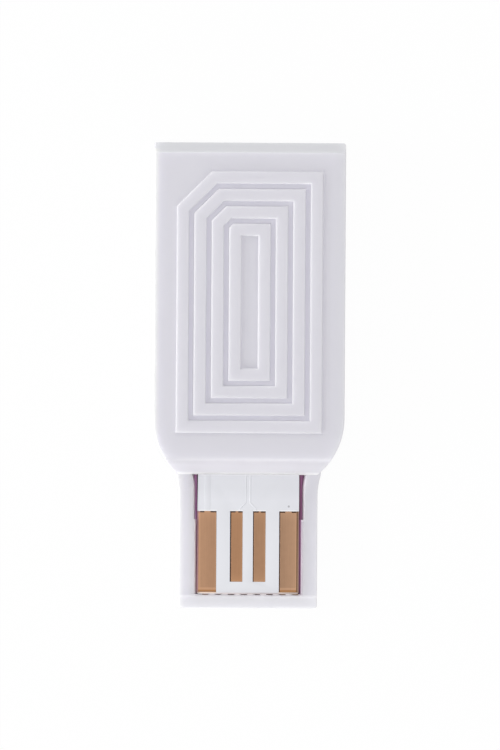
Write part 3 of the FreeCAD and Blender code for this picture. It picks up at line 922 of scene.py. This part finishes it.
def new_tree(name, sizes, starts_from=None):
    """A geometry tree with a named input for each size, and perhaps for a mesh to start from."""
    tree = bpy.data.node_groups.new(name, "GeometryNodeTree")
    tree.interface.new_socket("Geometry", in_out="OUTPUT", socket_type="NodeSocketGeometry")
    labels = list(sizes)
    if starts_from:
        tree.interface.new_socket(starts_from, in_out="INPUT", socket_type="NodeSocketGeometry")
        labels.append(starts_from)
    for label, value in sizes.items():
        tree.interface.new_socket(label, in_out="INPUT", socket_type=socket_kinds[type(value)])
    group_input = tree.nodes.new("NodeGroupInput")
    return Wire(tree), {label: Wire(tree, group_input.outputs[label]) for label in labels}


def grow(name, wire, geometry, sizes, material, start=None):
    """End the tree, run it on a new object and keep the plain mesh that it gives."""
    solid = wire.node("GeometryNodeRealizeInstances", {}, {"Geometry": geometry})
    dressed = wire.node("GeometryNodeSetMaterial", {}, {"Geometry": solid, "Material": material})
    wire.node("NodeGroupOutput", {}, {"Geometry": dressed})
    piece = bpy.data.objects.new(name, start or bpy.data.meshes.new(name))
    bpy.context.scene.collection.objects.link(piece)
    modifier = piece.modifiers.new(name, "NODES")
    modifier.node_group = wire.tree
    for item in wire.tree.interface.items_tree:
        if item.in_out == "INPUT" and item.name in sizes:
            modifier[item.identifier] = sizes[item.name]
    plain_mesh(piece)
    return piece


# %% The section of a frame
frame_sizes = {
    "Frames": frame_count,
    "Half width": relief_half,
    "Middle x": relief_middle,
    "Front": relief_front,
    "Back": relief_back,
    "Corner cut": relief_cut,
    "Frame width": frame_width,
    "Frame step": frame_step,
    "Face height": head_top,
    "Rise": 0.20 * MM,
    "Foot depth": 0.20 * MM,
    "Edge radius": 0.15 * MM,
}
wire, size = new_tree("raised_frames", frame_sizes)

section = wire.node("GeometryNodeCurvePrimitiveQuadrilateral", {}, {
    "Width": size["Frame width"], "Height": size["Rise"] + size["Foot depth"]})
section = wire.node("GeometryNodeFilletCurve", {"mode": "POLY"}, {
    "Curve": section, "Count": 5, "Radius": size["Edge radius"]})
section = wire.node("GeometryNodeCurveToMesh", {}, {"Curve": section})
section_points = wire.node("GeometryNodeAttributeDomainSize", {}, {"Geometry": section})

# %% [markdown]
# A grid of points is rolled up into a ring: one way round the frame's five corners, the
# other way round its section. In both ways the last row lies on the first, and merging
# closes the ring.

# %% A grid for each frame
corner_count = 5
rows = section_points + 1
grid = wire.node("GeometryNodeMeshGrid", {}, {
    "Size X": 1.0, "Size Y": 1.0, "Vertices X": corner_count + 1, "Vertices Y": rows})
places = wire.node("GeometryNodeMeshLine", {}, {"Count": size["Frames"]})
grids = wire.node("GeometryNodeInstanceOnPoints", {}, {"Points": places, "Instance": grid})
grids = wire.node("GeometryNodeRealizeInstances", {}, {"Geometry": grids})

index = wire.node("GeometryNodeInputIndex")
row = index // rows
frame_number = row // (corner_count + 1)
corner = row % (corner_count + 1) % corner_count
step = index % rows % section_points
position = wire.node("GeometryNodeInputPosition")
on_section = wire.node("GeometryNodeSampleIndex", {"data_type": "FLOAT_VECTOR"}, {
    "Geometry": section, "Value": position, "Index": step})
across, upward = axes(on_section, "XY")

# %% [markdown]
# The corners count from the front left: 0 front left, 1 front right, 2 back right, then 3
# and 4, the two ends of the cut at the back left.

# %% Each point in its place
inset = frame_number * size["Frame step"] + across + size["Frame width"] / 2
half = size["Half width"] - inset
cut = largest(size["Corner cut"] - (2 - math.sqrt(2)) * inset, 0.0)
at_right = (corner > 0.5) * (corner < 2.5)
at_back = corner > 1.5
front = size["Front"] + inset
back = size["Back"] - inset
x = size["Middle x"] + (2 * at_right - 1) * half + cut * (corner > 2.5) * (corner < 3.5)
y = front + at_back * (back - front) - cut * (corner > 3.5)
z = size["Face height"] + size["Rise"] / 2 - size["Foot depth"] / 2 + upward
spot = wire.node("ShaderNodeCombineXYZ", {}, {0: x, 1: y, 2: z})
rings = wire.node("GeometryNodeSetPosition", {}, {"Geometry": grids, "Position": spot})
rings = wire.node("GeometryNodeMergeByDistance", {}, {"Geometry": rings, "Distance": seam})

# %% [markdown]
# The frames are joined to the housing by a union. They could lie on it as a piece of their
# own, but light travels through plastic only inside one closed skin.


# %% Grow the frames
def face_outwards(piece):
    """Turn the faces of closed shells outwards."""
    form = bmesh.new()
    form.from_mesh(piece.data)
    bmesh.ops.remove_doubles(form, verts=form.verts, dist=seam)
    bmesh.ops.dissolve_degenerate(form, edges=form.edges, dist=seam)
    bmesh.ops.recalc_face_normals(form, faces=form.faces)
    form.to_mesh(piece.data)
    form.free()


frames = grow("raised_frames", wire, rings, frame_sizes, white)
face_outwards(frames)
union = housing.modifiers.new("frames", "BOOLEAN")
union.operation = "UNION"
union.solver = "MANIFOLD"
union.object = frames
plain_mesh(housing)
bpy.data.objects.remove(frames)
smooth(housing)
settle(housing, "white_housing", "top_housing")

# %% [markdown]
# ## The plum cover
# The cover closes the stick from below and snaps into the housing. Its solid has the true
# shape, so a merged copy in plum plastic is all that it needs.

# %% Cover
cover = merged_copy("base_cover", "plum_cover", [plum])
smooth(cover)
settle(cover, "plum_cover", "base_cover")

# %% [markdown]
# ## The board
# The solid board already has the lacquer's step in it. Faces at the height of the lacquer
# and the underside are white, and the sunken strips, the bays and all edges are bare
# laminate. In the photograph the board's outline doesn't follow its copper exactly, as the
# cutting and the etching of a board are never quite in line: the right edge lies a hair to
# the right, the left edge runs askew, and the windows' rear edges lie a hair forward.

# %% Board in two finishes
left_slide = 0.09 * MM
left_shift = 0.02 * MM
right_slide = 0.03 * MM
outline_from = 4.3 * MM
lacquer_depth = 0.07 * MM
level_from = 0.9


def slide_outline(form):
    """Move the board's side edges and the rear edges of its windows."""
    window_floor = board_high.z - 2 * lacquer_depth
    for vert in form.verts:
        if abs(vert.co.y - pad_rear) < seam and vert.co.z > window_floor:
            vert.co.y = window_rear
        towards_head = min(1.0, (vert.co.y - board_low.y) / (head_front - board_low.y))
        if vert.co.x < -outline_from:
            vert.co.x += left_slide * towards_head ** 2 - left_shift
        elif vert.co.x > outline_from:
            vert.co.x += right_slide


board = merged_copy("circuit_board", "board", [laminate, lacquer], slide_outline)
for face in board.data.polygons:
    is_level = abs(face.normal.z) > level_from
    is_sunken = abs(face.center.z - (board_high.z - lacquer_depth)) < lacquer_depth / 4
    face.material_index = int(is_level and not is_sunken)
smooth(board, 30)
settle(board, "board", "circuit_board")

# %% [markdown]
# ## The contacts
# Each contact sits in a window of the lacquer that is a hair larger than the metal, so a
# line of laminate, dark with painted shade, shows at its rear, and mostly at its left too. A
# short neck near the middle of the rear edge joins it to its track under the lacquer. A small
# bevel and a painted highlight give the bright rim. Each has its own tone, left gap and neck,
# as etching and wear have left them, and its own tilt of painted sheen. A gap below zero is
# metal that reaches past its window's edge, as the ground contact's does.

# %% Gilt contacts
rear_gap = 0.12 * MM
rim_radius = 0.018 * MM
contact_looks = {
    "contact_ground": ((0.496, 0.288, 0.172), -0.08, -0.055 * MM, 0.34),
    "contact_data_plus": ((0.456, 0.250, 0.137), 0.0, 0.11 * MM, 0.22),
    "contact_data_minus": ((0.442, 0.254, 0.147), 0.03, 0.085 * MM, 0.18),
    "contact_power": ((0.463, 0.280, 0.173), 0.12, 0.085 * MM, 0.40),
}


def contact_outline(low, high, left_gap, neck_share):
    """Corners of one contact seen from above, with its neck in the middle of the rear."""
    left = low.x + left_gap
    middle = (left + high.x) / 2
    rear = window_rear - rear_gap
    neck = neck_share * (high.x - left) / 2
    return [(left, low.y), (high.x, low.y), (high.x, rear), (middle + neck, rear),
            (middle + neck, window_rear), (middle - neck, window_rear), (middle - neck, rear),
            (left, rear)]


def contact_mesh(name, corners, bottom, top):
    """A flat slab over an outline."""
    form = bmesh.new()
    foot = form.faces.new([form.verts.new((x, y, bottom)) for x, y in corners])
    raised = bmesh.ops.extrude_face_region(form, geom=[foot])["geom"]
    tops = [item for item in raised if isinstance(item, bmesh.types.BMVert)]
    bmesh.ops.translate(form, verts=tops, vec=(0, 0, top - bottom))
    bmesh.ops.recalc_face_normals(form, faces=form.faces)
    mesh = bpy.data.meshes.new(name)
    form.to_mesh(mesh)
    form.free()
    return mesh


for node, (tone, painted_sheen_tilt, left_gap, neck_share) in contact_looks.items():
    low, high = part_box(node)
    name = "gilt_" + node
    corners = contact_outline(low, high, left_gap, neck_share)
    pad = bpy.data.objects.new(name, contact_mesh(name, corners, low.z, high.z))
    pad.data.materials.append(gilt("gilt_of_" + node, low, high, tone, painted_sheen_tilt))
    bpy.context.scene.collection.objects.link(pad)
    bevel = pad.modifiers.new("rim", "BEVEL")
    bevel.width = rim_radius
    bevel.segments = 3
    plain_mesh(pad)
    smooth(pad, 60)
    settle(pad, "gilt", node)

# %% [markdown]
# ## Tracks under the lacquer
# Copper tracks run from the contacts back under the head. The lacquer flows over them and
# leaves very low ridges. They could be bump in the lacquer, but a ridge of its own catches
# the low light as the real one does. A track follows a path, so Geometry Nodes sweep a
# flat oval along the path's few corners.

# %% Paths of the tracks
track_start = head_front + 0.3 * MM
fork_y = pad_rear + 0.7 * MM
pair_half = 0.2 * MM
reach = 0.5 * MM


def data_track(side):
    """Corners of the track of one inner contact: straight, then 45 degrees to its side."""
    return [(side * pair_half, track_start), (side * pair_half, fork_y),
            (side * (pair_half + reach), fork_y - reach), (side * (pair_half + reach), pad_rear)]


def path_mesh(name, corners, height):
    """A chain of edges through corners (x, y) at one height."""
    mesh = bpy.data.meshes.new(name)
    edges = [(i, i + 1) for i in range(len(corners) - 1)]
    mesh.from_pydata([(x, y, height) for x, y in corners], edges, [])
    return mesh


# %% Ridges of the tracks
data_width = 0.13 * MM
ground_width = 0.55 * MM
ground_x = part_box("contact_ground")[0].x + 0.70 * MM


def track(name, corners, width):
    """One low lacquered ridge along a path."""
    sizes = {"Width": width, "Rise": 0.018 * MM}
    wire, size = new_tree(name, sizes, starts_from="Path")
    path = wire.node("GeometryNodeMeshToCurve", {}, {"Mesh": size["Path"]})
    path = wire.node("GeometryNodeSetCurveNormal", {"mode": "Z_UP"}, {"Curve": path})
    oval = wire.node("GeometryNodeCurvePrimitiveCircle", {}, {"Resolution": 16, "Radius": 1.0})
    stretch = wire.node("ShaderNodeCombineXYZ", {}, {0: size["Width"] / 2, 1: size["Rise"], 2: 1.0})
    oval = wire.node("GeometryNodeTransform", {}, {"Geometry": oval, "Scale": stretch})
    sweep = {"Curve": path, "Profile Curve": oval, "Fill Caps": True}
    ridge = wire.node("GeometryNodeCurveToMesh", {}, sweep)
    piece = grow(name, wire, ridge, sizes, lacquer, path_mesh(name, corners, board_high.z))
    face_outwards(piece)
    smooth(piece, 60)
    settle(piece, "board")


track("track_data_plus", data_track(-1), data_width)
track("track_data_minus", data_track(1), data_width)
track("track_ground", [(ground_x, track_start), (ground_x, pad_rear)], ground_width)

# %% [markdown]
# ## The broken end of the board
# Boards are made many to a panel and snapped apart. At the broken end the bundles of the
# glass weave stick out into the narrow slit between the board and the tip wall, as short
# dashes: torn ones, darkened with the slit's painted shade, brown near the sides, and pale
# whole ones between them. Geometry Nodes put one rounded splinter on each point of a line,
# with a fixed seed for what varies. The finish tells the two kinds apart from where they lie.


# %% Broken fibre
first_splinter = -3.68 * MM
splinter_pitch = 0.56 * MM


def broken_fibre():
    """Torn fibre darkened with the slit's painted shade, with each second bundle whole and pale."""
    brown_from = 2.9 * MM
    material, place = new_finish("broken_fibre")
    x = axes(place, "X")[0]
    fibre = mottle(place, 0.12 * MM, detail=3.0)
    painted_shade_torn = blend(fibre, (0.07, 0.045, 0.05), (0.26, 0.19, 0.19))
    brown = blend(fibre, (0.16, 0.08, 0.04), (0.50, 0.30, 0.18))
    torn = blend(abs(x) > brown_from, painted_shade_torn, brown)
    pair = (x - first_splinter) / (2 * splinter_pitch)
    is_whole = pair.sum("PINGPONG", pair, 0.5) * 2 > 0.5
    colour = blend(is_whole, torn, (1.0, 0.94, 0.94))
    return finish(material, colour, 0.6 + 0.2 * fibre, fibre, 0.01 * MM, IOR=1.5)


# %% Splinters
slit = board_low.y - channel_end
splinter_sizes = {
    "Splinters": 16,
    "First x": first_splinter,
    "Pitch": splinter_pitch,
    "Slit y": board_low.y - 0.35 * slit,
    "Height": board_high.z - 0.035 * MM,
    "Half length": 0.29 * MM,
    "Half depth": 0.6 * slit,
    "Half height": 0.03 * MM,
    "Play": 0.1,
    "Play of depth": 0.3,
    "Play of length": 0.2,
    "Seed": 5,
}
wire, size = new_tree("end_splinters", splinter_sizes)
number = wire.node("GeometryNodeInputIndex")


def chance(play, salt):
    """A random number for each splinter, from minus the play to the play."""
    inputs = {"Min": -1.0, "Max": 1.0, "ID": number, "Seed": size["Seed"] + salt}
    return wire.node("FunctionNodeRandomValue", {"data_type": "FLOAT"}, inputs, output="Value") * play


x = size["First x"] + (number + chance(size["Play"], 0)) * size["Pitch"]
y = size["Slit y"] + chance(size["Play of depth"], 1) * size["Half depth"]
spot = wire.node("ShaderNodeCombineXYZ", {}, {0: x, 1: y, 2: size["Height"]})
line = wire.node("GeometryNodeMeshLine", {}, {"Count": size["Splinters"]})
line = wire.node("GeometryNodeSetPosition", {}, {"Geometry": line, "Position": spot})
drop = wire.node("GeometryNodeMeshIcoSphere", {}, {"Radius": 1.0, "Subdivisions": 3})
length = size["Half length"] * (1 + chance(size["Play of length"], 2))
extent = wire.node("ShaderNodeCombineXYZ", {}, {0: length, 1: size["Half depth"], 2: size["Half height"]})
splinters = wire.node("GeometryNodeInstanceOnPoints", {}, {
    "Points": line, "Instance": drop, "Scale": extent})
splinters = grow("end_splinters", wire, splinters, splinter_sizes, broken_fibre())
smooth(splinters, 60)
settle(splinters, "board")

# %% [markdown]
# ## Inside the head
# The electronics are closed in, but a model may be opened, so they are finished too. Each
# part is one mesh of a body and its metal, as it comes from a reel. A short test on the
# place of a face, measured from the part's middle, tells which of the two it is.


# %% Finishes of the electronics
def speckled(name, one, other, roughness, **constants):
    """A finish of two mixed colours with a fine grain."""
    grain = 0.05 * MM
    material, place = new_finish(name)
    speck = mottle(place, grain, detail=3.0)
    colour = blend(speck, one, other)
    return finish(material, colour, roughness + 0.12 * speck, speck, 0.001 * MM, **constants)


tinned = speckled("tinned_metal", (0.56, 0.56, 0.54), (0.68, 0.68, 0.66), 0.26, Metallic=1.0)
nickel = speckled("nickel_lid", (0.62, 0.59, 0.53), (0.70, 0.67, 0.60), 0.22, Metallic=1.0)
copper = speckled("printed_copper", (0.55, 0.27, 0.14), (0.68, 0.36, 0.20), 0.34, Metallic=1.0)
compound = speckled("black_compound", (0.016, 0.016, 0.018), (0.034, 0.034, 0.036), 0.5)
tray = speckled("ceramic_tray", (0.22, 0.19, 0.15), (0.30, 0.26, 0.21), 0.55)
tan = speckled("tan_ceramic", (0.38, 0.26, 0.17), (0.46, 0.34, 0.23), 0.38)
glaze = speckled("black_glaze", (0.022, 0.022, 0.026), (0.042, 0.042, 0.046), 0.25)
blue = speckled("blue_ceramic", (0.08, 0.17, 0.30), (0.13, 0.24, 0.40), 0.36)
ferrite = speckled("grey_ferrite", (0.045, 0.042, 0.04), (0.085, 0.08, 0.075), 0.48)


# %% Telling metal from body
def is_land(offset, half):
    """The short lands under the rim of a flat chip."""
    land_reach = 0.6 * MM
    land_top = 0.1 * MM
    return offset.z + half.z < land_top and max(abs(offset.x), abs(offset.y)) > half.x - land_reach


def is_lead(offset, half):
    """The bent leads beside a small chip's body."""
    body_half = 0.81 * MM
    return abs(offset.x) > body_half


def is_lid(offset, half):
    """The metal lid above the tray of the crystal."""
    tray_height = 0.36 * MM
    return offset.z + half.z > tray_height


def is_end_cap(offset, half):
    """The soldered ends, a quarter of the length each."""
    along = 0 if half.x > half.y else 1
    return abs(offset[along]) > half[along] / 2 - seam


def is_metal(offset, half):
    """All of a part that is metal through and through."""
    return True


# %% Dress the electronics
def dress(node, slot, body, metal, test):
    """A merged copy of a part, with its metal told from its body face by face."""
    low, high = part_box(node)
    middle, half = (low + high) / 2, (high - low) / 2
    piece = merged_copy(node, node + "_finished", [body, metal])
    for face in piece.data.polygons:
        face.material_index = int(test(face.center - middle, half))
    smooth(piece, 30)
    settle(piece, slot, node)


dress("radio_chip", "chip", compound, tinned, is_land)
dress("memory_chip", "chip", compound, tinned, is_land)
dress("voltage_regulator", "chip", compound, tinned, is_lead)
dress("surge_guard", "chip", compound, tinned, is_lead)
dress("timing_crystal", "metal_lid", tray, nickel, is_lid)
dress("antenna_trace", "copper", lacquer, copper, is_metal)
dress("antenna_coil", "coil", blue, tinned, is_end_cap)
dress("power_bead", "ferrite", ferrite, tinned, is_end_cap)
for node in sorted(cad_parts):
    if node.startswith("capacitor"):
        dress(node, "capacitor", tan, tinned, is_end_cap)
    elif node.startswith("resistor"):
        dress(node, "resistor", glaze, tinned, is_end_cap)
